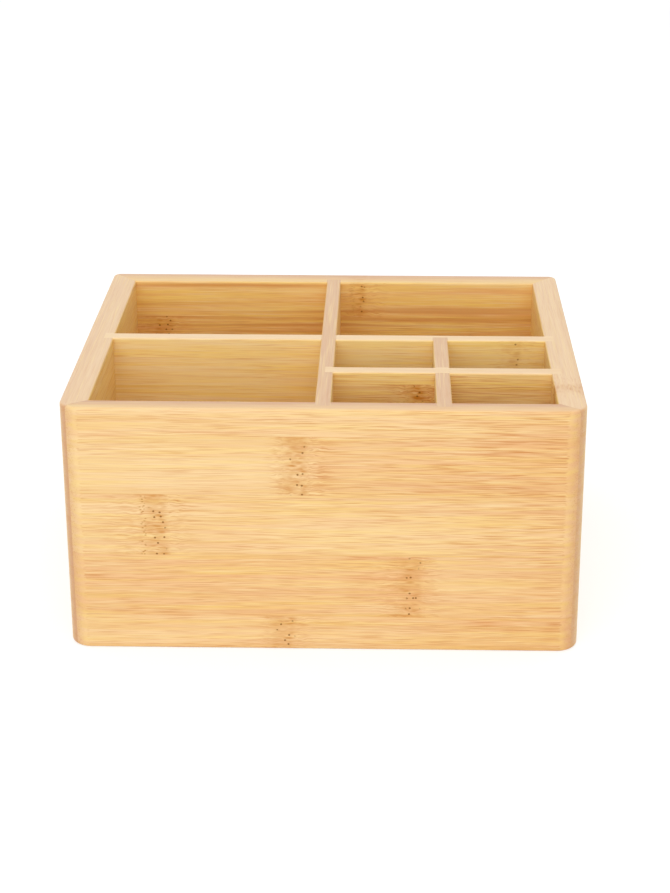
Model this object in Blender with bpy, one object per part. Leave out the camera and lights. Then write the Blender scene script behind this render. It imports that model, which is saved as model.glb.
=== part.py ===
"""Bamboo storage organizer: four mitred walls round a grooved-in base, and a grid of half-lapped dividers.

Metres, +Z up. The origin is at the bottom centre of the box, and the front wall faces -Y.
"""

import math
from collections import namedtuple

import bmesh
import bpy
from mathutils import Vector

# The box
WIDTH = 0.190
DEPTH = 0.152
HEIGHT = 0.097
WALL = 0.0105  # the left, right and back walls
FRONT_WALL = 0.0076
FRONT_CORNER_RADIUS = 0.008  # upright outer corners, rounded after the glue-up
BACK_CORNER_RADIUS = 0.003
EDGE_RADIUS = 0.0012  # outer edges of the rim and of the bottom
RIM_EASE = 0.0008  # inner edge of the rim
CLEARANCE = 0.0003  # glue gap between neighbouring boards

# The base and the groove that holds it
BASE_THICKNESS = 0.004
BASE_RECESS = 0.004  # from the bottom edge of the walls up to the base
BASE_EASE = 0.0005
GROOVE_DEPTH = 0.004

# The dividers
DIVIDER_THICKNESS = 0.0058
DIVIDER_EASE = 0.0007  # both long top edges
HOUSING_DEPTH = 0.004  # how far a divider is let into a wall
NOTCH_SHARE = 0.6  # how far a small divider is let into the thickness of the large one that it meets
CENTRE_SHARE = 0.5  # place of the centre divider, from the left wall to the right one
CROSS_SHARE = 0.5  # place of the cross divider, from the front wall to the back one
SMALL_CROSS_SHARE = 0.5  # place of the small cross divider, from the front wall to the cross divider
SMALL_SHARE = 0.5  # place of the small divider, from the centre divider to the right wall

# The loose tongues hidden in the mitres
SPLINE_THICKNESS = 0.003
SPLINE_WIDTH = 0.007  # across the joint, half of it in each wall
SPLINE_SETBACK = 0.002  # from the inner corner outwards to the tongue
SPLINE_STOP = 0.012  # solid wood kept above and below each tongue
SPLINE_EASE = 0.0003

# Facets and cuts
FRONT_CORNER_STEPS = 10  # both counts let the mitre cross a facet well away from its ends
BACK_CORNER_STEPS = 5
EDGE_STEPS = 4
EASE_STEPS = 3
CUT_OVERRUN = 0.003  # how far a cutter runs past an open end
MERGE_DISTANCE = 0.000001
SMOOTH_ANGLE = math.radians(35)

# Finish
PALE_BAMBOO = (0.94, 0.62, 0.31)
WARM_BAMBOO = (0.85, 0.52, 0.24)
RIM_BAMBOO = (0.90, 0.64, 0.38)
SATIN_ROUGHNESS = 0.48

# Places that follow from the sizes above
INNER_X = WIDTH / 2 - WALL
INNER_BACK = DEPTH / 2 - WALL
INNER_FRONT = FRONT_WALL - DEPTH / 2
BASE_TOP = BASE_RECESS + BASE_THICKNESS
DIVIDER_BOTTOM = BASE_TOP + CLEARANCE
DIVIDER_HEIGHT = HEIGHT - DIVIDER_BOTTOM
LAP_MIDDLE = DIVIDER_BOTTOM + DIVIDER_HEIGHT / 2
HALF_DIVIDER = DIVIDER_THICKNESS / 2
CENTRE_X = -INNER_X + 2 * INNER_X * CENTRE_SHARE
CROSS_Y = INNER_FRONT + (INNER_BACK - INNER_FRONT) * CROSS_SHARE
CROSS_FRONT_FACE = CROSS_Y - HALF_DIVIDER
CENTRE_RIGHT_FACE = CENTRE_X + HALF_DIVIDER
SMALL_CROSS_Y = INNER_FRONT + (CROSS_FRONT_FACE - INNER_FRONT) * SMALL_CROSS_SHARE
SMALL_X = CENTRE_RIGHT_FACE + (INNER_X - CENTRE_RIGHT_FACE) * SMALL_SHARE
WALL_REACH = HOUSING_DEPTH - CLEARANCE
NOTCH_REACH = DIVIDER_THICKNESS * NOTCH_SHARE - CLEARANCE

# Each wall runs between two corners of the box, given by the signs of their X and Y.
WALLS = {
    "front_panel": ((-1, -1), (1, -1)),
    "back_panel": ((-1, 1), (1, 1)),
    "left_panel": ((-1, -1), (-1, 1)),
    "right_panel": ((1, -1), (1, 1)),
}
CORNERS = {
    "front_left": (-1, -1),
    "front_right": (1, -1),
    "back_right": (1, 1),
    "back_left": (-1, 1),
}

# A divider stands on the line where its other coordinate is line, and runs from start to end along X or Y.
Divider = namedtuple("Divider", "name run line start end")
CENTRE = Divider("centre_divider", "Y", CENTRE_X, INNER_FRONT - WALL_REACH, INNER_BACK + WALL_REACH)
CROSS = Divider("cross_divider", "X", CROSS_Y, -INNER_X - WALL_REACH, INNER_X + WALL_REACH)
SMALL_CROSS = Divider(
    "small_cross_divider", "X", SMALL_CROSS_Y, CENTRE_RIGHT_FACE - NOTCH_REACH, INNER_X + WALL_REACH
)
SMALL = Divider("small_divider", "Y", SMALL_X, INNER_FRONT - WALL_REACH, CROSS_FRONT_FACE + NOTCH_REACH)

# The boards that hold each divider's two ends
HOUSINGS = (
    (CENTRE, ("front_panel", "back_panel")),
    (CROSS, ("left_panel", "right_panel")),
    (SMALL_CROSS, ("centre_divider", "right_panel")),
    (SMALL, ("front_panel", "cross_divider")),
)


def clear_scene():
    for obj in list(bpy.data.objects):
        bpy.data.objects.remove(obj)


def bamboo(name, colour):
    """A satin lacquered bamboo for one board."""
    material = bpy.data.materials.new(name)
    material.use_nodes = True
    shader = material.node_tree.nodes["Principled BSDF"]
    shader.inputs["Base Color"].default_value = (*colour, 1)
    shader.inputs["Roughness"].default_value = SATIN_ROUGHNESS
    shader.inputs["Metallic"].default_value = 0
    material.diffuse_color = (*colour, 1)
    return material


def object_from(name, bm, colour=None):
    """Turns the bmesh into an object of the scene. One without a colour is a cutter."""
    mesh = bpy.data.meshes.new(name)
    bm.to_mesh(mesh)
    bm.free()
    obj = bpy.data.objects.new(name, mesh)
    bpy.context.scene.collection.objects.link(obj)
    if colour:
        mesh.materials.append(bamboo(name, colour))
        mesh.shade_smooth()
        mesh.set_sharp_from_angle(angle=SMOOTH_ANGLE)
    else:
        obj.hide_render = True
        obj.display_type = "WIRE"
    return obj


def cut(obj, cutter):
    modifier = obj.modifiers.new(cutter.name, "BOOLEAN")
    modifier.operation = "DIFFERENCE"
    modifier.solver = "EXACT"
    modifier.object = cutter


def arc(across, up, radius, start_deg, end_deg, steps):
    """Points from one angle to another on a circle round (across, up)."""
    angles = [math.radians(start_deg + (end_deg - start_deg) * i / steps) for i in range(steps + 1)]
    return [(across + radius * math.cos(a), up + radius * math.sin(a)) for a in angles]


def block(size):
    """A bmesh block of that size round the origin."""
    bm = bmesh.new()
    bmesh.ops.create_cube(bm, size=1)
    bmesh.ops.scale(bm, vec=size, verts=bm.verts)
    return bm


def ease_edges(obj, width):
    bevel = obj.modifiers.new("eased edges", "BEVEL")
    bevel.width = width
    bevel.segments = 1
    bevel.limit_method = "ANGLE"


# Walls


def wall_outer_profile():
    """The outer side of a wall's cross-section as (inset, height) pairs, from the bottom up to the rim."""
    bottom = arc(EDGE_RADIUS, EDGE_RADIUS, EDGE_RADIUS, 270, 180, EDGE_STEPS)
    top = arc(EDGE_RADIUS, HEIGHT - EDGE_RADIUS, EDGE_RADIUS, 180, 90, EDGE_STEPS)
    return bottom + top


def wall_inner_profile():
    """The inner side, with the base's groove, as (depth into the wall, height) pairs from the rim down."""
    rim = arc(RIM_EASE, HEIGHT - RIM_EASE, RIM_EASE, 90, 180, EASE_STEPS)
    groove_top = BASE_TOP + CLEARANCE
    groove_bottom = BASE_RECESS - CLEARANCE
    groove = [(0, groove_top), (GROOVE_DEPTH, groove_top), (GROOVE_DEPTH, groove_bottom), (0, groove_bottom)]
    return rim + groove + [(0, 0)]


def outline(half_width, front, back, front_radius, back_radius, height):
    """A rectangle's outline at one height, anticlockwise, with its two pairs of corners rounded."""
    points = []
    corners = (
        (half_width, back, back_radius, BACK_CORNER_STEPS),
        (-half_width, back, back_radius, BACK_CORNER_STEPS),
        (-half_width, front, front_radius, FRONT_CORNER_STEPS),
        (half_width, front, front_radius, FRONT_CORNER_STEPS),
    )
    for quarter, (corner_x, corner_y, radius, steps) in enumerate(corners):
        centre_x = corner_x - math.copysign(radius, corner_x)
        centre_y = corner_y - math.copysign(radius, corner_y)
        for x, y in arc(centre_x, centre_y, radius, 90 * quarter, 90 * quarter + 90, steps):
            points.append((x, y, height))
    return points


def outer_outline(inset, height):
    """The box's outline at one height, drawn in by inset."""
    front_radius = max(FRONT_CORNER_RADIUS - inset, 0)
    back_radius = max(BACK_CORNER_RADIUS - inset, 0)
    return outline(WIDTH / 2 - inset, inset - DEPTH / 2, DEPTH / 2 - inset, front_radius, back_radius, height)


def inner_outline(depth, height):
    """The outline inside the walls at one height, let into them by depth."""
    return outline(INNER_X + depth, INNER_FRONT - depth, INNER_BACK + depth, 0, 0, height)


def wall_ring():
    """All four walls as one ring: the profile swept round the box, rounded outside and square inside."""
    outer = [outer_outline(inset, z) for inset, z in wall_outer_profile()]
    inner = [inner_outline(depth, z) for depth, z in wall_inner_profile()]
    bm = bmesh.new()
    loops = [[bm.verts.new(point) for point in points] for points in outer + inner]
    for lower, upper in zip(loops, loops[1:] + loops[:1]):
        for i in range(len(lower)):
            bm.faces.new((lower[i - 1], lower[i], upper[i], upper[i - 1]))
    bmesh.ops.remove_doubles(bm, verts=bm.verts, dist=MERGE_DISTANCE)
    bmesh.ops.recalc_face_normals(bm, faces=bm.faces)
    return bm


def outer_corner(corner):
    """The sharp corner that two outer faces would make."""
    return Vector((corner[0] * WIDTH / 2, corner[1] * DEPTH / 2, 0))


def inner_corner(corner):
    return Vector((corner[0] * INNER_X, INNER_BACK if corner[1] > 0 else INNER_FRONT, 0))


def mitre_direction(corner):
    """The way along a mitre, from the inner corner out to the outer one."""
    return (outer_corner(corner) - inner_corner(corner)).normalized()


def mitre(bm, corner, other_corner):
    """Cuts the ring from the inner to the outer corner, and keeps the side of the other corner."""
    along = mitre_direction(corner)
    outwards = Vector((-along.y, along.x, 0))
    if outwards.dot(outer_corner(other_corner) - outer_corner(corner)) > 0:
        outwards.negate()
    point = outer_corner(corner) - outwards * CLEARANCE / 2
    everything = bm.verts[:] + bm.edges[:] + bm.faces[:]
    bmesh.ops.bisect_plane(bm, geom=everything, plane_co=point, plane_no=outwards, clear_outer=True)


def wall(name):
    """One wall of the ring, with both its ends mitred."""
    bm = wall_ring()
    first, second = WALLS[name]
    mitre(bm, first, second)
    mitre(bm, second, first)
    bmesh.ops.holes_fill(bm, edges=[edge for edge in bm.edges if edge.is_boundary])
    bmesh.ops.recalc_face_normals(bm, faces=bm.faces)
    return object_from(name, bm, PALE_BAMBOO)


# Base


def base_panel():
    """The floor board, which fills the groove but for the glue gap."""
    reach = GROOVE_DEPTH - CLEARANCE
    bm = block((2 * (INNER_X + reach), INNER_BACK - INNER_FRONT + 2 * reach, BASE_THICKNESS))
    base = object_from("base_panel", bm, WARM_BAMBOO)
    base.location.y = (INNER_BACK + INNER_FRONT) / 2
    base.location.z = BASE_RECESS + BASE_THICKNESS / 2
    ease_edges(base, BASE_EASE)


# Dividers


def divider_board(divider):
    """A thin upright board with its two long top edges eased, drawn along X and then turned to its run."""
    shoulder = HALF_DIVIDER - DIVIDER_EASE
    ease_height = DIVIDER_HEIGHT - DIVIDER_EASE
    section = [(HALF_DIVIDER, 0)]
    section += arc(shoulder, ease_height, DIVIDER_EASE, 0, 90, EASE_STEPS)
    section += arc(-shoulder, ease_height, DIVIDER_EASE, 90, 180, EASE_STEPS)
    section += [(-HALF_DIVIDER, 0)]
    bm = bmesh.new()
    end = bm.faces.new([bm.verts.new((0, y, z)) for y, z in section])
    grown = bmesh.ops.extrude_face_region(bm, geom=[end])["geom"]
    moved = [item for item in grown if isinstance(item, bmesh.types.BMVert)]
    bmesh.ops.translate(bm, vec=(divider.end - divider.start, 0, 0), verts=moved)
    bmesh.ops.recalc_face_normals(bm, faces=bm.faces)
    board = object_from(divider.name, bm, RIM_BAMBOO)
    if divider.run == "X":
        board.location = (divider.start, divider.line, DIVIDER_BOTTOM)
    else:
        board.location = (divider.line, divider.start, DIVIDER_BOTTOM)
        board.rotation_euler.z = math.radians(90)
    return board


def divider_cutter(divider, use, bottom, top):
    """A block round the divider between two heights, with the glue gap on both sides and at both ends."""
    length = divider.end - divider.start + 2 * CLEARANCE
    middle = (divider.start + divider.end) / 2
    height = top - bottom
    bm = block((length, DIVIDER_THICKNESS + 2 * CLEARANCE, height))
    cutter = object_from(divider.name + use, bm)
    if divider.run == "X":
        cutter.location = (middle, divider.line, bottom + height / 2)
    else:
        cutter.location = (divider.line, middle, bottom + height / 2)
        cutter.rotation_euler.z = math.radians(90)
    return cutter


def house(boards, divider, hosts):
    """Cuts the housing for each end of the divider, open at the rim."""
    seat = divider_cutter(divider, "_seat", DIVIDER_BOTTOM - CLEARANCE, HEIGHT + CUT_OVERRUN)
    for host in hosts:
        cut(boards[host], seat)


def halve(boards, lower, upper):
    """Half-laps two crossing dividers. The lower one is slotted from above, and the upper drops over it."""
    slot_bottom = LAP_MIDDLE - CLEARANCE / 2
    slot_top = LAP_MIDDLE + CLEARANCE / 2
    upper_half = divider_cutter(upper, "_upper_half", slot_bottom, HEIGHT + CUT_OVERRUN)
    lower_half = divider_cutter(lower, "_lower_half", DIVIDER_BOTTOM - CUT_OVERRUN, slot_top)
    cut(boards[lower.name], upper_half)
    cut(boards[upper.name], lower_half)


# Splines


def spline_block(name, corner, grow, colour=None):
    """The tongue across one mitre, square to the joint, larger by grow on each side."""
    outwards = mitre_direction(corner)
    bottom = BASE_TOP + SPLINE_STOP
    top = HEIGHT - SPLINE_STOP
    size = (SPLINE_THICKNESS + 2 * grow, SPLINE_WIDTH + 2 * grow, top - bottom + 2 * grow)
    tongue = object_from(name, block(size), colour)
    tongue.location = inner_corner(corner) + outwards * (SPLINE_SETBACK + SPLINE_THICKNESS / 2)
    tongue.location.z = (bottom + top) / 2
    tongue.rotation_euler.z = math.atan2(outwards.y, outwards.x)
    return tongue


def spline(boards, corner_name):
    """One tongue, and its slot in the two walls that meet there."""
    corner = CORNERS[corner_name]
    tongue = spline_block("corner_spline_" + corner_name, corner, 0, WARM_BAMBOO)
    ease_edges(tongue, SPLINE_EASE)
    slot = spline_block("spline_slot_" + corner_name, corner, CLEARANCE)
    for name, ends in WALLS.items():
        if corner in ends:
            cut(boards[name], slot)


def build():
    clear_scene()
    boards = {name: wall(name) for name in WALLS}
    base_panel()
    for divider in (CENTRE, CROSS, SMALL_CROSS, SMALL):
        boards[divider.name] = divider_board(divider)
    halve(boards, lower=CROSS, upper=CENTRE)
    halve(boards, lower=SMALL, upper=SMALL_CROSS)
    for divider, hosts in HOUSINGS:
        house(boards, divider, hosts)
    for corner_name in CORNERS:
        spline(boards, corner_name)


build()
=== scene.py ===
"""Looks of the bamboo storage organizer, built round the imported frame.

Metres, +Z up. Each board is a mesh in world coordinates, so its material knows every point of the wood.
The materials work in millimetres.
"""

import math
from collections import namedtuple

import bmesh
import bpy
from mathutils import Matrix, Vector

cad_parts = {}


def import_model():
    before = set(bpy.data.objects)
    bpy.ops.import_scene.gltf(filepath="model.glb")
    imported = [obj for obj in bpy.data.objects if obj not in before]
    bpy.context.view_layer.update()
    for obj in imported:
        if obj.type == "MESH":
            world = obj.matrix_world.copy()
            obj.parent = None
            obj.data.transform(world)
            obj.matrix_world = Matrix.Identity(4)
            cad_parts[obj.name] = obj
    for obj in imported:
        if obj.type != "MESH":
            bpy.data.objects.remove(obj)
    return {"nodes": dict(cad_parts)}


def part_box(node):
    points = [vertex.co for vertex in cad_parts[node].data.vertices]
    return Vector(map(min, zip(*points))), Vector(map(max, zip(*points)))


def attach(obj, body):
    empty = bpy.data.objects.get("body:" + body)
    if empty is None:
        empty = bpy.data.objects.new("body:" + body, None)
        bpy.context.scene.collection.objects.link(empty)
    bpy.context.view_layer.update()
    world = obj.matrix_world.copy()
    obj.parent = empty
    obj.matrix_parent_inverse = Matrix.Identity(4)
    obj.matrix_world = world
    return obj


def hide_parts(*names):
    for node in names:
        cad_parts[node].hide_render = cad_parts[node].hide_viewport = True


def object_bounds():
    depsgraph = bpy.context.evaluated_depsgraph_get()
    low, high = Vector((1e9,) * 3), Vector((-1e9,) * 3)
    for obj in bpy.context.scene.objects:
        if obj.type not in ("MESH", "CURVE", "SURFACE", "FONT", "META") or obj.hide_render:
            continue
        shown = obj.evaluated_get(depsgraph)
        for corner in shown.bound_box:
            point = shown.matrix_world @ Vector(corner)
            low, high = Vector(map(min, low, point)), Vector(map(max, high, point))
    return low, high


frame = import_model()
cad_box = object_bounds()

# The camera, from a fit of the box's edges in the photograph, whose frame is 670 by 893 pixels
PHOTO_HEIGHT_PX = 893
FOCAL_PX = 1888.2
AXIS_RIGHT_PX = 19.2  # where the lens axis meets the photograph, from its middle
AXIS_UP_PX = 110.0
CAMERA_PLACE = (0.0231, -0.6967, 0.3549)
CAMERA_YAW = math.radians(-1.08)
CAMERA_PITCH = math.radians(20.33)
CAMERA_ROLL = math.radians(0.05)
SENSOR_MM = 36.0

# Sizes that the frame gives
OUTER_X = cad_box[1].x
OUTER_Y = cad_box[1].y
HEIGHT = cad_box[1].z
BASE_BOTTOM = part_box("base_panel")[0].z
BASE_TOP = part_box("base_panel")[1].z
INNER_X = -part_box("left_panel")[1].x
INNER_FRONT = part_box("front_panel")[1].y
INNER_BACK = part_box("back_panel")[0].y

# Sizes of the rounding and of the joints
FRONT_CORNER_RADIUS = 0.008
BACK_CORNER_RADIUS = 0.003
EDGE_RADIUS = 0.0012
EASE = 0.0008  # the router's pass round each compartment after assembly
BASE_EASE = 0.0003
GROOVE_DEPTH = 0.004
HAIRLINE = 0.00002  # what shows of a closed glue joint
MITRE_GAP = 0.000004
CUT_OVERRUN = 0.003
CORNER_STEPS = 25  # odd, so that a mitre at 45 degrees crosses the middle of a facet
EDGE_STEPS = 8
EASE_STEPS = 6
MERGE_DISTANCE = 0.0000005
SHARP_ANGLE = math.radians(30)

# The studio
CLIP_START = 0.01
WHITE = (1, 1, 1, 1)
AMBIENT = 0.67
FLOOR_REACH = 6.0
FLOOR_COLOUR = (0.8, 0.8, 0.8, 1)  # what throws light back on the box
FLOOR_SEEN_COLOUR = (0.6, 0.6, 0.6, 1)  # what the camera sees, together with the lift
FLOOR_LIFT = 0.57
Softbox = namedtuple("Softbox", "name place target size power")
SOFTBOXES = (
    Softbox("front_softbox", place=(-0.2, -1.5, 0.78), target=(0, 0, 0.05), size=(1.6, 1.2), power=10.0),
    Softbox("top_softbox", place=(0, 0.1, 1.4), target=(0, 0, 0), size=(1.2, 1.2), power=2.5),
)

WALLS = {
    "front_panel": ((-1, -1), (1, -1)),
    "back_panel": ((-1, 1), (1, 1)),
    "left_panel": ((-1, -1), (-1, 1)),
    "right_panel": ((1, -1), (1, 1)),
}


def arc(across, up, radius, start_deg, end_deg, steps):
    """Points from one angle to another on a circle round (across, up)."""
    angles = [math.radians(start_deg + (end_deg - start_deg) * i / steps) for i in range(steps + 1)]
    return [(across + radius * math.cos(a), up + radius * math.sin(a)) for a in angles]


def object_from(name, bm):
    """A new object in the scene with the mesh that was being built."""
    mesh = bpy.data.meshes.new(name)
    bm.to_mesh(mesh)
    bm.free()
    obj = bpy.data.objects.new(name, mesh)
    bpy.context.scene.collection.objects.link(obj)
    return obj


def block(name, low, high):
    """A plain block between two corners, used as a cutter."""
    bm = bmesh.new()
    bmesh.ops.create_cube(bm, size=1)
    size = Vector(high) - Vector(low)
    middle = (Vector(high) + Vector(low)) / 2
    bmesh.ops.transform(bm, matrix=Matrix.LocRotScale(middle, None, size), verts=bm.verts)
    return object_from(name, bm)


def carve(board, cutters):
    """Cuts the board with each cutter and keeps the result as its mesh."""
    for cutter in cutters:
        modifier = board.modifiers.new(cutter.name, "BOOLEAN")
        modifier.operation = "DIFFERENCE"
        modifier.solver = "EXACT"
        modifier.object = cutter
    bpy.context.view_layer.update()
    evaluated = board.evaluated_get(bpy.context.evaluated_depsgraph_get())
    board.data = bpy.data.meshes.new_from_object(evaluated)
    board.modifiers.clear()


# Walls


def outline(half_width, front, back, front_radius, back_radius, height):
    """A rectangle's outline at one height, anticlockwise, with its two pairs of corners rounded."""
    points = []
    corners = (
        (half_width, back, back_radius),
        (-half_width, back, back_radius),
        (-half_width, front, front_radius),
        (half_width, front, front_radius),
    )
    for quarter, (corner_x, corner_y, radius) in enumerate(corners):
        centre_x = corner_x - math.copysign(radius, corner_x)
        centre_y = corner_y - math.copysign(radius, corner_y)
        for x, y in arc(centre_x, centre_y, radius, 90 * quarter, 90 * quarter + 90, CORNER_STEPS):
            points.append((x, y, height))
    return points


def outer_outline(inset, height):
    """The box's outline at one height, drawn in by inset."""
    front_radius = max(FRONT_CORNER_RADIUS - inset, 0)
    back_radius = max(BACK_CORNER_RADIUS - inset, 0)
    return outline(OUTER_X - inset, inset - OUTER_Y, OUTER_Y - inset, front_radius, back_radius, height)


def inner_outline(depth, height):
    """The outline inside the walls at one height, let into them by depth."""
    return outline(INNER_X + depth, INNER_FRONT - depth, INNER_BACK + depth, 0, 0, height)


def wall_ring():
    """The four walls as one ring: their profile swept round the box, rounded outside and square inside."""
    outer = arc(EDGE_RADIUS, EDGE_RADIUS, EDGE_RADIUS, 270, 180, EDGE_STEPS)
    outer += arc(EDGE_RADIUS, HEIGHT - EDGE_RADIUS, EDGE_RADIUS, 180, 90, EDGE_STEPS)
    inner = arc(EASE, HEIGHT - EASE, EASE, 90, 180, EASE_STEPS)
    inner += [
        (0, BASE_TOP + HAIRLINE),
        (GROOVE_DEPTH, BASE_TOP + HAIRLINE),
        (GROOVE_DEPTH, BASE_BOTTOM - HAIRLINE),
        (0, BASE_BOTTOM - HAIRLINE),
        (0, 0),
    ]
    rings = [outer_outline(inset, z) for inset, z in outer]
    rings += [inner_outline(depth, z) for depth, z in inner]
    bm = bmesh.new()
    loops = [[bm.verts.new(point) for point in points] for points in rings]
    for lower, upper in zip(loops, loops[1:] + loops[:1]):
        for i in range(len(lower)):
            bm.faces.new((lower[i - 1], lower[i], upper[i], upper[i - 1]))
    bmesh.ops.remove_doubles(bm, verts=bm.verts, dist=MERGE_DISTANCE)
    bmesh.ops.recalc_face_normals(bm, faces=bm.faces)
    return bm


def outer_corner(corner):
    """The sharp corner that two outer faces would make."""
    return Vector((corner[0] * OUTER_X, corner[1] * OUTER_Y, 0))


def inner_corner(corner):
    """The corner that two inner faces make."""
    return Vector((corner[0] * INNER_X, INNER_BACK if corner[1] > 0 else INNER_FRONT, 0))


def mitre(bm, corner, other_corner):
    """Cuts the ring from the inner to the outer corner, and keeps the side of the other corner."""
    along = (outer_corner(corner) - inner_corner(corner)).normalized()
    outwards = Vector((-along.y, along.x, 0))
    if outwards.dot(outer_corner(other_corner) - outer_corner(corner)) > 0:
        outwards.negate()
    point = outer_corner(corner) - outwards * MITRE_GAP / 2
    everything = bm.verts[:] + bm.edges[:] + bm.faces[:]
    bmesh.ops.bisect_plane(bm, geom=everything, plane_co=point, plane_no=outwards, clear_outer=True)


def wall(name, node):
    """One wall, cut from the ring by the mitres at its two corners."""
    bm = wall_ring()
    first, second = WALLS[node]
    mitre(bm, first, second)
    mitre(bm, second, first)
    bmesh.ops.holes_fill(bm, edges=[edge for edge in bm.edges if edge.is_boundary])
    bmesh.ops.recalc_face_normals(bm, faces=bm.faces)
    return object_from(name, bm)


# Dividers

# A divider runs from start to end along one axis, 0 for X and 1 for Y, round the line at its other coordinate.
Divider = namedtuple("Divider", "node axis line half start end")


def divider_from(node, axis):
    """A divider's place and size, from the frame."""
    low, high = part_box(node)
    other = 1 - axis
    line = (low[other] + high[other]) / 2
    return Divider(node, axis, line, (high[other] - low[other]) / 2, low[axis], high[axis])


CENTRE = divider_from("centre_divider", 1)
CROSS = divider_from("cross_divider", 0)
SMALL_CROSS = divider_from("small_cross_divider", 0)
SMALL = divider_from("small_divider", 1)
DIVIDER_BOTTOM = BASE_TOP + HAIRLINE
LAP_MIDDLE = (DIVIDER_BOTTOM + HEIGHT) / 2


def oriented(divider, along, across, z):
    """A point given along and across a divider's run, as x, y and z."""
    return (along, across, z) if divider.axis == 0 else (across, along, z)


def across_span(divider):
    """Where another board meets this divider: its two faces, as a stretch of the other board's run."""
    return divider.line - divider.half, divider.line + divider.half


def wall_spans(axis):
    """The two stretches of a run along one axis that lie inside the walls."""
    if axis == 0:
        return [(-OUTER_X, -INNER_X), (INNER_X, OUTER_X)]
    return [(-OUTER_Y, INNER_FRONT), (INNER_BACK, OUTER_Y)]


def divider_board(name, divider, buried):
    """A thin board whose eased top edges run out where they enter the buried stretches.

    There the easing of the crossing board carries on to a mitre at 45 degrees, as a router leaves it.
    """
    angles = [math.pi / 2 * i / EASE_STEPS for i in range(EASE_STEPS + 1)]
    stations = {divider.start, divider.end}
    for low, high in buried:
        for angle in angles:
            depth = EASE * (1 - math.cos(angle))
            stations.update(s for s in (low + depth, high - depth) if divider.start < s < divider.end)
    bm = bmesh.new()
    sections = []
    for station in sorted(stations):
        depth = max(min(station - low, high - station) for low, high in buried)
        depth = min(max(depth, 0), EASE)
        floor = math.sqrt(1 - (1 - depth / EASE) ** 2)
        side = [(divider.half, DIVIDER_BOTTOM)]
        for angle in angles:
            across = divider.half - EASE * (1 - math.cos(angle))
            side.append((across, HEIGHT - EASE + EASE * max(math.sin(angle), floor)))
        section = side + [(-across, z) for across, z in reversed(side)]
        points = [oriented(divider, station, divider.line + across, z) for across, z in section]
        sections.append([bm.verts.new(point) for point in points])
    for before, after in zip(sections, sections[1:]):
        for i in range(len(before)):
            bm.faces.new((before[i - 1], before[i], after[i], after[i - 1]))
    bm.faces.new(sections[0])
    bm.faces.new(sections[-1])
    bmesh.ops.recalc_face_normals(bm, faces=bm.faces)
    return object_from(name, bm)


def seat(divider, bottom, top):
    """A cutter round the divider between two heights, a hairline larger than it."""
    low = oriented(divider, divider.start - HAIRLINE, divider.line - divider.half - HAIRLINE, bottom)
    high = oriented(divider, divider.end + HAIRLINE, divider.line + divider.half + HAIRLINE, top)
    return block(divider.node + "_seat", low, high)


# Base


def base_board(name):
    """The floor board, its edges eased a little, in the groove."""
    reach = GROOVE_DEPTH - HAIRLINE
    low = (-INNER_X - reach, INNER_FRONT - reach, BASE_BOTTOM)
    high = (INNER_X + reach, INNER_BACK + reach, BASE_TOP)
    board = block(name, low, high)
    bm = bmesh.new()
    bm.from_mesh(board.data)
    bmesh.ops.bevel(bm, geom=bm.edges[:], offset=BASE_EASE, segments=3, profile=0.5, affect="EDGES")
    bm.to_mesh(board.data)
    bm.free()
    return board


# Materials


def srgb(red, green, blue):
    """A colour given as it looks on screen, from 0 to 255, as the shader takes it."""
    return tuple(((c / 255 + 0.055) / 1.055) ** 2.4 if c > 10 else c / 255 / 12.92 for c in (red, green, blue)) + (1,)


class Nodes:
    """Writes a material's nodes as short calls. A value is a socket or a plain number, vector or colour."""

    def __init__(self, tree):
        self.tree = tree

    def feed(self, socket, value):
        if isinstance(value, bpy.types.NodeSocket):
            self.tree.links.new(value, socket)
        else:
            socket.default_value = value

    def add(self, kind, values=None, **settings):
        node = self.tree.nodes.new("ShaderNode" + kind)
        for key, value in settings.items():
            setattr(node, key, value)
        for key, value in (values or {}).items():
            self.feed(node.inputs[key], value)
        return node

    def math(self, operation, *values, clamp=False):
        numbered = dict(enumerate(values))
        return self.add("Math", numbered, operation=operation, use_clamp=clamp).outputs[0]

    def vector(self, operation, *values):
        return self.add("VectorMath", dict(enumerate(values)), operation=operation).outputs[0]

    def combine(self, x, y, z):
        return self.add("CombineXYZ", {0: x, 1: y, 2: z}).outputs[0]

    def separate(self, vector):
        return self.add("SeparateXYZ", {0: vector}).outputs

    def step(self, value, low, high, start=0.0, end=1.0):
        """A smooth step from start to end as the value goes from low to high."""
        values = {"Value": value, "From Min": low, "From Max": high, "To Min": start, "To Max": end}
        return self.add("MapRange", values, interpolation_type="SMOOTHSTEP").outputs[0]

    def mix(self, factor, first, second):
        node = self.add("Mix", {0: factor, 6: first, 7: second}, data_type="RGBA")
        return node.outputs[2]

    def noise(self, point, cell, detail=2.0, roughness=0.5):
        """Noise whose cells have that size along each axis."""
        scaled = self.vector("DIVIDE", point, cell)
        values = {"Vector": scaled, "Scale": 1.0, "Detail": detail, "Roughness": roughness}
        return self.add("TexNoise", values).outputs[0]

    def sway(self, point, cell, span):
        """Noise round zero, that spans about that much."""
        return self.math("MULTIPLY", self.math("SUBTRACT", self.noise(point, cell, 1.0), 0.5), span)

    def fold(self, operation, values):
        """One value from some, taken together one after the other."""
        values = list(values)
        result = values[0]
        for value in values[1:]:
            result = self.math(operation, result, value)
        return result

    def total(self, values):
        return self.fold("ADD", values)

    def product(self, values):
        return self.fold("MULTIPLY", values)

    def largest(self, values):
        return self.fold("MAXIMUM", values)

    def smallest(self, values):
        return self.fold("MINIMUM", values)

    def cells(self, point, cell, dimensions="3D"):
        """Distance from the middle of the nearest cell, and a random number of that cell."""
        scaled = self.vector("DIVIDE", point, cell)
        node = self.add("TexVoronoi", {"Vector": scaled, "Scale": 1.0}, voronoi_dimensions=dimensions)
        return node.outputs["Distance"], self.separate(node.outputs["Color"])[1]


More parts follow.
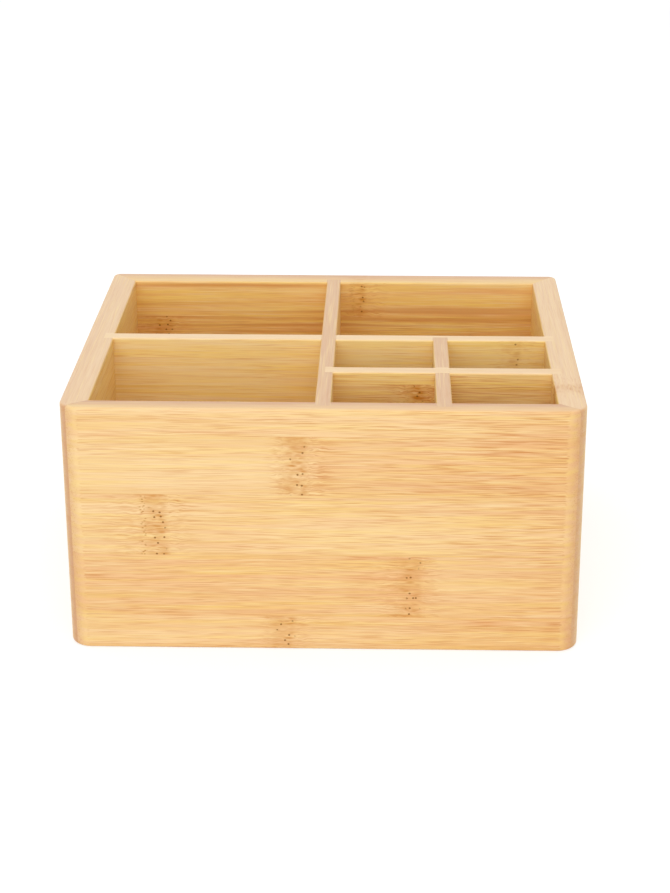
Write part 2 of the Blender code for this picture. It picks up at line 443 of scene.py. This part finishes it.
PALE = srgb(254, 218, 162)  # the lightest wood
WARM = srgb(239, 177, 116)  # the warmest wood
PALE_AND_PAINTED_LIGHT = srgb(255, 232, 186)  # a paler veil over some boards; on the boards inside the box it is partly painted light that brightens the compartments
HONEY = srgb(252, 217, 114)
FIBRE = srgb(213, 138, 64)
GLINT = srgb(255, 226, 168)
KNOT = srgb(206, 128, 0)  # the band of a knuckle
PRICK = srgb(190, 122, 14)
SPECK = srgb(148, 92, 0)  # the dots in a knuckle
CREAM = srgb(255, 224, 184)  # the pale end of a rim's tint
ROSE = srgb(223, 178, 145)  # and its pink end
END = srgb(208, 147, 108)  # the rounded corners, which are end grain

MM_PER_M = 1000
SPREAD_MM = (731, 97, 53)  # how far apart two staves lie in the patterns

# The cell of each pattern in millimetres: along the grain, across the staves and through the board
WANDER_CELL = (75, 24, 24)
SWIRL_CELL = (5, 1.8, 1.8)
MEANDER_CELL = (300, 6, 6)
JAG_CELL = (30, 0.7, 0.7)
FINE_CELL = (14, 0.23, 0.23)
SHORT_CELL = (17, 0.45, 0.45)
LONG_CELL = (60, 1.6, 1.6)
GLINT_CELL = (26, 0.5, 0.5)
HATCH_CELL = (4, 0.5, 0.5)
HONEY_CELL = (60, 1.8, 1.8)
BAND_CELL = (120, 2.8, 2.8)
DARK_BAND_CELL = (170, 3.0, 3.0)
CLOUD_CELL = (45, 14, 14)
RIM_CELL = (30, 3, 0.8)
PATCH_CELL = (32, 4, 4)
BLOTCH_CELL = (5, 2.4, 4)
STROKE_CELL = (5, 1.3, 1.3)
DOT_CELL = (2.3, 2.1, 1)
PRICK_CELL = (1.7, 0.75, 1)
PORE_CELL = (0.8, 0.6, 0.8)

# How each pattern is read. A STEP is what Nodes.step takes after its value: low, high and, where they aren't 0 and
# 1, start and end. STREAKS are what fibres takes after the cell, and SPOTS what spots takes after it.
FINE_STEP = (0.48, 0.66, 0, 0.95)
SHORT_STREAKS = (0.1, 0.3, 1.3)
LONG_STREAKS = (0.05, 0.13, 1.5)
GLINT_STEP = (0.52, 0.7, 0, 0.5)
DARK_BAND_STEP = (0.5, 0.7, 0, 0.5)
WARM_END_STEP_MM = (10, 85)  # where along the grain a board with a warm end grows warmer
SEAM_STEP_MM = (0.05, 0.22, 0.2, 0)
PORE_STEP = (0.1, 0.45, 0.5, 0)

# These steps go by how far a face is turned to look along the grain or, for a rim, across the staves.
PORE_TURN_STEP = (0.1, 0.7)
FLAT_STEP = (0.04, 0.22, 1, 0)
END_STEP = (0.12, 0.75)
RIM_STEP = (0.45, 0.95, 0, 0.9)

# How far the patterns swing, and how much they count for
WANDER_MM = 1.6
SWIRL_MM = 2.4
BAND_SWAY = 2.4
HONEY_SWAY = 1.3
CLOUD_SWAY = 0.4
FLAT_JAG = 0.3
PATCH_SWAY = 1.7
RIM_BAND_SWAY = 0.5
RIM_STREAK_SWAY = 0.42
RIM_LEAN = 0.45  # how far a rim's tint leans from its near to its far edge
RIM_COVER = (0.35, 1.1)  # how much of the tint lies on those two edges
RIM_FADE = 0.82  # how much of the streaks, bands and marks a rim loses
WARM_END_CROWD = 1.9
GAINED_CROWD = 1.8
LEAST_CROWD = 0.3
NEAR_CROWD = 0.3
SHORT_FORCE = 1.3

# The marks of a knuckle in millimetres from its left or right edge
LEAD_END_STEP_MM = (-0.5, 0.5, 1, 0)
BAND_START_STEP_MM = (-3.0, 3.5)
BAND_END_STEP_MM = (-2.6, 1.2, 1, 0)
PRICKED_STEP_MM = (0.2, 1.3)
DOTS_START_STEP_MM = (2.6, 3.6)
DOTS_END_STEP_MM = (-2.0, -0.9, 1, 0)
TAIL_START_STEP_MM = (-0.3, 0.3)
TAIL_END_STEP_MM = (2, 12, 1, 0)
GAIN_STEP_MM = (-4, 6)
SEAM_SHADE_STEP_MM = (0.2, 1.4, 0.38, 0)
JAG_MM = 3.2
MEANDER_MM = 2.4
DOT_FORCE = 1.6
BLOTCH_STEP = (0.3, 0.65, 0.25, 1)
STROKE_STREAKS = (0.1, 0.5, 0.5)
HATCH_STEP = (0.48, 0.7)
PRICK_SPOTS = (0.15, 0.38, 0.2)
DOT_SPOTS = (0.12, 0.22, 0.57)
CHANCE_SPAN = 0.05
HATCH_FORCE = 0.42
BLOTCH_FORCE = 0.38
STROKE_FORCE = 0.9
NO_MARKS = (0.0,) * 6

# The lacquered surface
ROUGHNESS_STEP = (0.3, 0.7, 0.42, 0.54)
SHORT_RELIEF = 0.6
BUMP_STRENGTH = 0.5
BUMP_DISTANCE = 0.00003

# One bamboo joint in one stave: its two edges along the grain, how far the fibres that lead to it are disturbed,
# what the tone gains after it, how strong its marks are, and how strong the pricks along its left edge are.
Knuckle = namedtuple("Knuckle", "stave left right lead gain force_share prick_share")

# One board's wood. axes gives the grain's direction, the way across the staves and the way through the board.
# seams are the heights of the glue lines. Two tables go from the lowest stave up: tone_shares from pale to
# warm, and fibre_shares from few fibres to many. faces is given for a wall whose two faces differ: how far the
# inner and the outer one lie from the box's middle. streak, band and honey are those of the inner one. rim_span
# is given where the rim's tint changes across it: its near edge, which is paler, and its far one.
# On the boards inside the box, the paler veil is partly painted light that brightens the compartments.
Wood = namedtuple(
    "Wood",
    "axes seed seams tone_shares fibre_shares knuckles light_share streak band honey warm_end rim_share end_share"
    " rim_span faces",
    defaults=(None, None),
)
OUTER_STREAK = 0.45
OUTER_BAND = 0.3
OUTER_HONEY = 0.2

SIDE_FACES = (INNER_X * MM_PER_M, OUTER_X * MM_PER_M)
BACK_FACES = (INNER_BACK * MM_PER_M, OUTER_Y * MM_PER_M)
FRONT_RIM = (-OUTER_Y * MM_PER_M, INNER_FRONT * MM_PER_M)

WOODS = {
    "front_panel": Wood(
        axes="XZY", seed=1, seams=(14.0, 39.0, 63.3, 86.4),
        tone_shares=(0.28, 0.52, 0.2, 0.03, 0.2), fibre_shares=(0.95, 1.1, 0.95, 0.7, 1.03),
        knuckles=(
            Knuckle(stave=0, left=-20, right=-9.5, lead=6, gain=0.05, force_share=0.7, prick_share=0.1),
            Knuckle(stave=1, left=27.5, right=37, lead=18, gain=-0.3, force_share=0.65, prick_share=0.1),
            Knuckle(stave=2, left=-65.5, right=-56, lead=24, gain=0.0, force_share=0.72, prick_share=1.25),
            Knuckle(stave=3, left=-14.5, right=-5.2, lead=8, gain=0.35, force_share=1.0, prick_share=0.15),
        ),
        light_share=0.0, streak=0.48, band=0.25, honey=0.16, warm_end=0.28, rim_share=0.75, end_share=0.36,
        rim_span=FRONT_RIM,
    ),
    "back_panel": Wood(
        axes="XZY", seed=2, seams=(8.5, 32.8, 57.0, 81.2),
        tone_shares=(0.6, 0.7, 0.65, 1.0, 0.75), fibre_shares=(1.8, 1.9, 1.8, 2.4, 1.5),
        knuckles=(
            Knuckle(stave=3, left=-79, right=-68, lead=10, gain=-0.1, force_share=0.7, prick_share=0.1),
            Knuckle(stave=4, left=8, right=14.2, lead=8, gain=-0.2, force_share=1.0, prick_share=0.3),
        ),
        light_share=0.05, streak=0.2, band=1.25, honey=0.55, warm_end=0.0, rim_share=0.45, end_share=0.3,
        rim_span=BACK_FACES, faces=BACK_FACES,
    ),
    "left_panel": Wood(
        axes="YZX", seed=3, seams=(4.0, 28.2, 52.4, 76.6),
        tone_shares=(0.3, 0.2, 0.35, 0.15, 0.2), fibre_shares=(1.3, 1.1, 1.4, 1.0, 1.1),
        knuckles=(
            Knuckle(stave=1, left=16, right=24, lead=14, gain=0.1, force_share=0.8, prick_share=0.5),
            Knuckle(stave=3, left=-34, right=-26, lead=12, gain=0.1, force_share=0.9, prick_share=0.3),
        ),
        light_share=0.2, streak=0.4, band=0.3, honey=0.6, warm_end=0.0, rim_share=0.33, end_share=0.75,
        faces=SIDE_FACES,
    ),
    "right_panel": Wood(
        axes="YZX", seed=4, seams=(15.0, 39.2, 63.4, 87.6),
        tone_shares=(0.2, 0.3, 0.15, 0.3, 0.2), fibre_shares=(1.1, 1.3, 1.0, 1.3, 1.1),
        knuckles=(
            Knuckle(stave=4, left=-58, right=-49, lead=6, gain=0.1, force_share=1.9, prick_share=0.2),
            Knuckle(stave=2, left=27, right=35, lead=14, gain=0.1, force_share=0.8, prick_share=0.6),
        ),
        light_share=0.2, streak=0.4, band=0.3, honey=0.6, warm_end=0.0, rim_share=0.25, end_share=0.6,
        faces=SIDE_FACES,
    ),
    "centre_divider": Wood(
        axes="YZX", seed=5, seams=(6.0, 30.2, 54.4, 78.6), tone_shares=(0.2,) * 5, fibre_shares=(1.1,) * 5,
        knuckles=(Knuckle(stave=2, left=-24, right=-16, lead=12, gain=0.1, force_share=0.9, prick_share=0.4),),
        light_share=0.3, streak=0.4, band=0.25, honey=0.5, warm_end=0.0, rim_share=0.72, end_share=0.3,
    ),
    # The cross divider's strong paler veil is partly painted light, brightening the compartments on its two sides.
    "cross_divider": Wood(
        axes="XZY", seed=6, seams=(1.4, 25.6, 49.8, 74.0),
        tone_shares=(0.1, 0.1, 0.0, 0.0, 0.0), fibre_shares=(0.5,) * 5,
        knuckles=(Knuckle(stave=4, left=68.5, right=76, lead=8, gain=0.1, force_share=0.5, prick_share=0.0),),
        light_share=0.85, streak=0.45, band=0.2, honey=0.6, warm_end=0.0, rim_share=0.0, end_share=0.3,
    ),
    "small_cross_divider": Wood(
        axes="XZY", seed=7, seams=(19.6, 43.8, 68.0, 92.2), tone_shares=(0.2,) * 5, fibre_shares=(0.9,) * 5,
        knuckles=(Knuckle(stave=3, left=30.5, right=38, lead=12, gain=0.1, force_share=1.25, prick_share=0.2),),
        light_share=0.35, streak=0.65, band=0.5, honey=0.65, warm_end=0.0, rim_share=0.0, end_share=0.3,
    ),
    "small_divider": Wood(
        axes="YZX", seed=8, seams=(11.0, 35.2, 59.4, 83.6), tone_shares=(0.2,) * 5, fibre_shares=(1.1,) * 5,
        knuckles=(), light_share=0.3, streak=0.4, band=0.25, honey=0.5, warm_end=0.0, rim_share=0.76, end_share=0.3,
    ),
    "base_panel": Wood(
        axes="XYZ", seed=9, seams=(-60.5, -36.3, -12.1, 12.1, 36.3, 60.5),
        tone_shares=(0.3, 0.4, 0.2, 0.35, 0.3, 0.15, 0.3), fibre_shares=(1.3, 1.5, 1.1, 1.4, 1.3, 1.0, 1.3),
        knuckles=(
            Knuckle(stave=2, left=-44, right=-36, lead=12, gain=0.1, force_share=0.9, prick_share=0.4),
            Knuckle(stave=4, left=21, right=29, lead=12, gain=0.1, force_share=0.9, prick_share=0.4),
        ),
        light_share=0.0, streak=0.4, band=0.3, honey=0.4, warm_end=0.0, rim_share=0.5, end_share=0.3,
    ),
}
SPLINE_WOOD = Wood(
    axes="ZYX", seed=10, seams=(0.0,), tone_shares=(0.5, 0.5), fibre_shares=(1.7, 1.7), knuckles=(),
    light_share=0.0, streak=0.35, band=0.2, honey=0.3, warm_end=0.0, rim_share=0.5, end_share=0.3,
)


def wood_point(n, socket, axes, scale=1.0):
    """The socket's vector in the board's own order: along the grain, across the staves, through the board."""
    parts = dict(zip("XYZ", n.separate(socket)))
    if scale == 1.0:
        return tuple(parts[axis] for axis in axes)
    return tuple(n.math("MULTIPLY", parts[axis], scale) for axis in axes)


def staves(n, wood, across):
    """The number of the stave that a point is in, and its distance from the nearest glue line."""
    stave = n.total(n.math("GREATER_THAN", across, seam) for seam in wood.seams)
    to_seam = n.smallest(n.math("ABSOLUTE", n.math("SUBTRACT", across, seam)) for seam in wood.seams)
    return stave, to_seam


def by_stave(n, stave, shares):
    """Each stave's own value, from a table with one step for each."""
    count = len(shares)
    table = n.add("ValToRGB", {0: n.math("DIVIDE", n.math("ADD", stave, 0.5), count)})
    ramp = table.color_ramp
    ramp.interpolation = "CONSTANT"
    ramp.elements.remove(ramp.elements[1])
    for index, share in enumerate(shares):
        element = ramp.elements[0] if index == 0 else ramp.elements.new(index / count)
        element.position = index / count
        element.color = (share, share, share, 1)
    return table.outputs[0]


def knuckle(n, stave, along, wobble, place):
    """The marks of one bamboo joint in one stave.

    They are the disturbed fibres that lead to it, its own band with a sharp right edge, the row of pricks where it
    starts, the fibres after it, the stretch that holds its dots, and what the tone gains from there on.
    """
    here = n.math("COMPARE", stave, place.stave, 0.5)
    force = n.math("MULTIPLY", here, place.force_share)
    dot_force = n.math("MULTIPLY", here, min(DOT_FORCE * place.force_share, 1.0))
    after_left = n.math("ADD", n.math("SUBTRACT", along, place.left), wobble)
    after_right = n.math("ADD", n.math("SUBTRACT", along, place.right), wobble)
    lead = n.math("MULTIPLY", n.step(after_left, -place.lead, 0), n.step(after_left, *LEAD_END_STEP_MM))
    band = n.math("MULTIPLY", n.step(after_left, *BAND_START_STEP_MM), n.step(after_right, *BAND_END_STEP_MM))
    pricked = n.step(n.math("ABSOLUTE", after_left), *PRICKED_STEP_MM, place.prick_share, 0)
    dotted = n.math("MULTIPLY", n.step(after_left, *DOTS_START_STEP_MM), n.step(after_right, *DOTS_END_STEP_MM))
    tail = n.math("MULTIPLY", n.step(after_right, *TAIL_START_STEP_MM), n.step(after_right, *TAIL_END_STEP_MM))
    gained = n.math("MULTIPLY", n.step(after_right, *GAIN_STEP_MM, 0, place.gain), here)
    soft = [n.math("MULTIPLY", mark, force) for mark in (lead, band, pricked, tail)]
    return soft + [n.math("MULTIPLY", dotted, dot_force), gained]


def knuckles(n, wood, stave, along, point, seen):
    """The marks of all the joints in a board, as strong as seen says, or zeros where it has none."""
    if not wood.knuckles:
        return NO_MARKS
    wobble = n.math("ADD", n.sway(point, JAG_CELL, JAG_MM), n.sway(point, MEANDER_CELL, MEANDER_MM))
    marks = [knuckle(n, stave, along, wobble, place) for place in wood.knuckles]
    *shapes, gained = zip(*marks)
    return [n.math("MULTIPLY", n.largest(same), seen) for same in shapes] + [n.total(gained)]


def fibres(n, point, cell, middle, edge, power):
    """Streaks drawn out along the grain, each with a strength of its own."""
    distance, chance = n.cells(point, cell)
    return n.math("MULTIPLY", n.step(distance, middle, edge, 1, 0), n.math("POWER", chance, power))


def spots(n, point, cell, middle, edge, least):
    """Round spots, one in each of the cells whose random number is above least."""
    distance, chance = n.cells(point, cell, "2D")
    return n.math("MULTIPLY", n.step(distance, middle, edge, 1, 0), n.step(chance, least, least + CHANCE_SPAN))


def by_face(n, wood, through):
    """How strong the streaks, the bands and the honey tint are, from a wall's inner face to its outer one."""
    inner_shares = (wood.streak, wood.band, wood.honey)
    if wood.faces is None:
        return inner_shares
    depth = n.math("ABSOLUTE", through)
    outer_shares = (OUTER_STREAK, OUTER_BAND, OUTER_HONEY)
    return tuple(n.step(depth, *wood.faces, *shares) for shares in zip(inner_shares, outer_shares))


def bamboo(name, wood):
    """Solid bamboo with fibres along the grain, glued-up staves and the knuckles of the culm."""
    material = bpy.data.materials.new(name)
    material.use_nodes = True
    n = Nodes(material.node_tree)
    shader = material.node_tree.nodes["Principled BSDF"]
    coordinates = n.add("TexCoord")
    along, across, through = wood_point(n, coordinates.outputs["Object"], wood.axes, MM_PER_M)
    stave, to_seam = staves(n, wood, across)
    chance = n.add("TexWhiteNoise", {"Vector": n.combine(stave, wood.seed, 0)}).outputs["Color"]
    point = n.vector("ADD", n.combine(along, across, through), n.vector("MULTIPLY", chance, SPREAD_MM))
    streak_share, band_share, honey_share = by_face(n, wood, through)
    normal = n.vector("ABSOLUTE", coordinates.outputs["Normal"])
    normal_along, normal_across, _ = wood_point(n, normal, wood.axes)
    rim = n.step(normal_across, *RIM_STEP)
    below_rim = n.math("SUBTRACT", 1, n.math("MULTIPLY", rim, RIM_FADE))
    lead, band, pricked, tail, dotted, gained = knuckles(n, wood, stave, along, point, below_rim)
    near = n.largest((lead, band, tail))

    # The fibres wander a little along the board, and swirl round a knuckle.
    swirl = n.math("MULTIPLY", n.sway(point, SWIRL_CELL, SWIRL_MM), near)
    bend = n.math("ADD", n.sway(point, WANDER_CELL, WANDER_MM), swirl)
    bent = n.vector("ADD", point, n.combine(0, bend, 0))

    # Where a corner is rounded the saw and sander leave no long fibres, and on the rims only faint ones.
    flat = n.step(n.math("ADD", normal_along, n.sway(point, JAG_CELL, FLAT_JAG)), *FLAT_STEP)
    end = n.step(normal_along, *END_STEP, 0, wood.end_share)
    rim_tone = n.total((
        n.sway(point, BAND_CELL, RIM_BAND_SWAY), n.sway(bent, RIM_CELL, RIM_STREAK_SWAY), wood.rim_share,
    ))
    rim_cover = rim
    if wood.rim_span:
        rim_tone = n.math("ADD", rim_tone, n.step(through, *wood.rim_span, -RIM_LEAN, RIM_LEAN))
        rim_cover = n.math("MULTIPLY", rim, n.step(through, *wood.rim_span, *RIM_COVER), clamp=True)
    rim_tone = n.math("MINIMUM", n.math("MAXIMUM", rim_tone, 0), 1)

    # Warm wood has more fibres in it than pale wood.
    # Along the grain the board grows warmer and more crowded with fibres towards one end, by warm_end.
    warm_end_ramp = n.step(along, *WARM_END_STEP_MM, 0, wood.warm_end)
    cloud = n.sway(point, CLOUD_CELL, CLOUD_SWAY)
    density = n.total((by_stave(n, stave, wood.tone_shares), gained, warm_end_ramp, cloud))
    crowd = n.total((
        by_stave(n, stave, wood.fibre_shares),
        n.math("MULTIPLY", warm_end_ramp, WARM_END_CROWD),
        n.math("MULTIPLY", gained, GAINED_CROWD),
        n.sway(bent, PATCH_CELL, PATCH_SWAY),
    ))
    streak = n.total((n.math("MAXIMUM", crowd, LEAST_CROWD), n.math("MULTIPLY", near, NEAR_CROWD)))
    streak = n.math("MULTIPLY", n.math("MULTIPLY", streak, streak_share), n.math("MULTIPLY", flat, below_rim))
    tone = n.math("MULTIPLY_ADD", n.sway(bent, BAND_CELL, BAND_SWAY), band_share, density, clamp=True)
    colour = n.mix(tone, PALE, WARM)

    fine = n.noise(bent, FINE_CELL, 1)
    short = fibres(n, bent, SHORT_CELL, *SHORT_STREAKS)
    long = fibres(n, bent, LONG_CELL, *LONG_STREAKS)
    glint = n.math("MULTIPLY", n.step(n.noise(bent, GLINT_CELL, 1), *GLINT_STEP), flat)
    honey = n.math("ADD", n.sway(bent, HONEY_CELL, HONEY_SWAY), honey_share, clamp=True)
    pores = n.math("MULTIPLY", n.step(n.cells(point, PORE_CELL)[0], *PORE_STEP), n.step(normal_along, *PORE_TURN_STEP))
    dark_band = n.step(n.noise(bent, DARK_BAND_CELL, 1), *DARK_BAND_STEP)
    layers = [
        # A paler veil over the whole board, partly painted light on the boards inside the box.
        (PALE_AND_PAINTED_LIGHT, wood.light_share),
        (HONEY, honey),
        (n.mix(rim_tone, CREAM, ROSE), rim_cover),
        (END, end),
        (FIBRE, pores),
        (GLINT, glint),
        (FIBRE, n.math("MULTIPLY", dark_band, n.math("MULTIPLY", band_share, below_rim))),
        (FIBRE, n.math("MULTIPLY", n.step(fine, *FINE_STEP), streak)),
        (FIBRE, n.product((streak, SHORT_FORCE, short))),
        (FIBRE, n.math("MULTIPLY", long, streak)),
    ]
    if wood.knuckles:
        blotch = n.step(n.noise(point, BLOTCH_CELL, 1), *BLOTCH_STEP)
        strokes = fibres(n, bent, STROKE_CELL, *STROKE_STREAKS)
        hatch = n.step(n.noise(bent, HATCH_CELL, 1), *HATCH_STEP)
        upright = n.math("MULTIPLY", n.largest((lead, band)), blotch)
        layers += [
            (FIBRE, n.product((hatch, near, HATCH_FORCE))),
            (KNOT, n.product((band, blotch, BLOTCH_FORCE))),
            (KNOT, n.product((band, strokes, STROKE_FORCE))),
            (FIBRE, n.math("MULTIPLY", n.step(to_seam, *SEAM_SHADE_STEP_MM), upright)),
            (PRICK, n.math("MULTIPLY", spots(n, point, PRICK_CELL, *PRICK_SPOTS), pricked)),
            (SPECK, n.math("MULTIPLY", spots(n, point, DOT_CELL, *DOT_SPOTS), dotted)),
        ]
    layers += [(FIBRE, n.step(to_seam, *SEAM_STEP_MM))]
    for tint, mask in layers:
        colour = n.mix(mask, colour, tint)

    n.feed(shader.inputs["Base Color"], colour)
    n.feed(shader.inputs["Roughness"], n.step(fine, *ROUGHNESS_STEP))
    relief = n.math("MULTIPLY", n.math("SUBTRACT", fine, n.math("MULTIPLY", short, SHORT_RELIEF)), flat)
    bump = n.add("Bump", {"Strength": BUMP_STRENGTH, "Distance": BUMP_DISTANCE, "Height": relief})
    n.feed(shader.inputs["Normal"], bump.outputs[0])
    return material


# Stage


def camera():
    """The photograph's camera, its lens shifted by where the axis meets the picture."""
    data = bpy.data.cameras.new("camera")
    data.sensor_width = SENSOR_MM
    data.lens = FOCAL_PX / PHOTO_HEIGHT_PX * SENSOR_MM
    data.shift_x = -AXIS_RIGHT_PX / PHOTO_HEIGHT_PX
    data.shift_y = -AXIS_UP_PX / PHOTO_HEIGHT_PX
    data.clip_start = CLIP_START
    obj = bpy.data.objects.new("camera", data)
    turn = Matrix.Rotation(-CAMERA_YAW, 4, "Z")
    tilt = Matrix.Rotation(math.pi / 2 - CAMERA_PITCH, 4, "X")
    roll = Matrix.Rotation(CAMERA_ROLL, 4, "Z")
    obj.matrix_world = Matrix.Translation(CAMERA_PLACE) @ turn @ tilt @ roll
    bpy.context.scene.collection.objects.link(obj)
    bpy.context.scene.camera = obj


def seen_directly(n):
    """1 for camera, glossy and transmission rays, and 0 for the light that falls on things."""
    path = n.add("LightPath")
    seen = n.math("MAXIMUM", path.outputs["Is Camera Ray"], path.outputs["Is Glossy Ray"])
    return n.math("MAXIMUM", seen, path.outputs["Is Transmission Ray"])


def world():
    """An even studio ambient, seen as a white background."""
    sky = bpy.data.worlds.new("studio")
    sky.use_nodes = True
    bpy.context.scene.world = sky
    n = Nodes(sky.node_tree)
    background = sky.node_tree.nodes["Background"]
    background.inputs["Color"].default_value = WHITE
    seen = seen_directly(n)
    n.feed(background.inputs["Strength"], n.step(seen, 0, 1, AMBIENT, 1.0))


def area_light(softbox):
    """A rectangular lamp that looks from its place to its target."""
    data = bpy.data.lights.new(softbox.name, "AREA")
    data.shape = "RECTANGLE"
    data.size, data.size_y = softbox.size
    data.energy = softbox.power
    obj = bpy.data.objects.new(softbox.name, data)
    obj.location = softbox.place
    obj.rotation_euler = (Vector(softbox.target) - Vector(softbox.place)).to_track_quat("-Z", "Y").to_euler()
    bpy.context.scene.collection.objects.link(obj)


def floor():
    """A pale floor that keeps the shadow, and is lifted to white where the camera sees it."""
    bm = bmesh.new()
    bmesh.ops.create_grid(bm, x_segments=1, y_segments=1, size=FLOOR_REACH)
    obj = object_from("floor", bm)
    material = bpy.data.materials.new("floor")
    material.use_nodes = True
    n = Nodes(material.node_tree)
    shader = material.node_tree.nodes["Principled BSDF"]
    shader.inputs["Roughness"].default_value = 1.0
    shader.inputs["Specular IOR Level"].default_value = 0.0
    shader.inputs["Emission Color"].default_value = WHITE
    seen = seen_directly(n)
    n.feed(shader.inputs["Base Color"], n.mix(seen, FLOOR_COLOUR, FLOOR_SEEN_COLOUR))
    n.feed(shader.inputs["Emission Strength"], n.math("MULTIPLY", seen, FLOOR_LIFT))
    obj.data.materials.append(material)


# Assembly


def dress(board, node):
    """Gives a finished board its wood, its shading and its place in the model."""
    board.data.materials.clear()
    board.data.materials.append(bamboo(board.name, WOODS[node]))
    board.data.shade_smooth()
    board.data.set_sharp_from_angle(angle=SHARP_ANGLE)
    weighted = board.modifiers.new("flat faces stay flat", "WEIGHTED_NORMAL")
    weighted.keep_sharp = True
    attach(board, "root")
    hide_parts(node)


def build():
    """The boards in place of the solids, each seated in the others with a hairline between them."""
    top = HEIGHT + CUT_OVERRUN
    boards = {node: wall(node.replace("panel", "wall"), node) for node in WALLS}
    boards["base_panel"] = base_board("base_board")
    centre_buried = wall_spans(1) + [across_span(CROSS)]
    small_cross_buried = [across_span(CENTRE), across_span(SMALL), (INNER_X, OUTER_X)]
    small_buried = [(-OUTER_Y, INNER_FRONT), across_span(CROSS)]
    boards["centre_divider"] = divider_board("centre_board", CENTRE, centre_buried)
    boards["cross_divider"] = divider_board("cross_board", CROSS, wall_spans(0))
    boards["small_cross_divider"] = divider_board("small_cross_board", SMALL_CROSS, small_cross_buried)
    boards["small_divider"] = divider_board("small_board", SMALL, small_buried)

    seats = {d.node: seat(d, DIVIDER_BOTTOM - HAIRLINE, top) for d in (CENTRE, CROSS, SMALL_CROSS, SMALL)}
    upper_halves = {d.node: seat(d, LAP_MIDDLE, top) for d in (CENTRE, SMALL_CROSS)}
    lower_halves = {d.node: seat(d, DIVIDER_BOTTOM - CUT_OVERRUN, LAP_MIDDLE) for d in (CROSS, SMALL)}
    tongues = {name: node for name, node in frame["nodes"].items() if name.startswith("corner_spline")}
    beside = {side: [tongues[name] for name in tongues if side in name] for side in ("front", "back", "left", "right")}
    carve(boards["front_panel"], [seats["centre_divider"], seats["small_divider"]] + beside["front"])
    carve(boards["back_panel"], [seats["centre_divider"]] + beside["back"])
    carve(boards["left_panel"], [seats["cross_divider"]] + beside["left"])
    carve(boards["right_panel"], [seats["cross_divider"], seats["small_cross_divider"]] + beside["right"])
    carve(boards["centre_divider"], [lower_halves["cross_divider"], seats["small_cross_divider"]])
    carve(boards["cross_divider"], [upper_halves["centre_divider"], seats["small_divider"]])
    carve(boards["small_cross_divider"], [lower_halves["small_divider"]])
    carve(boards["small_divider"], [upper_halves["small_cross_divider"]])
    for cutter in [*seats.values(), *upper_halves.values(), *lower_halves.values()]:
        bpy.data.objects.remove(cutter)

    for node, board in boards.items():
        dress(board, node)
    spline_material = bamboo("corner_spline", SPLINE_WOOD)
    for tongue in tongues.values():
        tongue.material_slots[0].material = spline_material


def main():
    build()
    camera()
    world()
    for softbox in SOFTBOXES:
        area_light(softbox)
    floor()
    bpy.context.scene.view_settings.view_transform = "Standard"


main()
